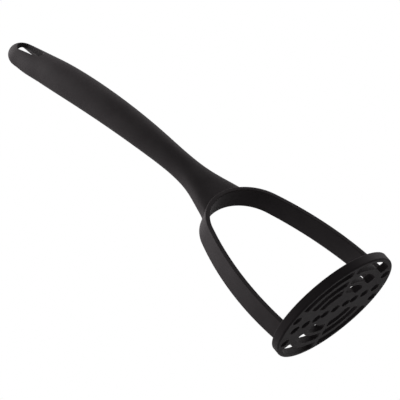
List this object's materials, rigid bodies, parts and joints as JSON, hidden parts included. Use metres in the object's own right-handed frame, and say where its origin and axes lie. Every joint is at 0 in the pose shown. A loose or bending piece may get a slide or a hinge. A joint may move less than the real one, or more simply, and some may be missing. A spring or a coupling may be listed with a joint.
{
  "type": "potato masher",
  "caption": "Potato masher: a round perforated plate in a rim, carried by an arched strap under a long curved handle with a hanging eye.",
  "frame": {"origin": "centre of the mashing face, the flat lower face of the plate and its rim", "axes": "+Z square to the mashing face towards the handle, +X across the yoke's two arms, +Y the way the handle leans and bends"},
  "size_m": [0.085, 0.1256, 0.2872],
  "materials": {
    "black_plastic": "fine matte texture",
    "core_plastic": "as moulded, hidden inside the handle"
  },
  "bodies": {
    "root": {"mashing_plate": "black_plastic", "plate_rim": "black_plastic", "yoke": "black_plastic", "handle_core": "core_plastic", "handle_grip": "black_plastic"}
  },
  "joints": []
}
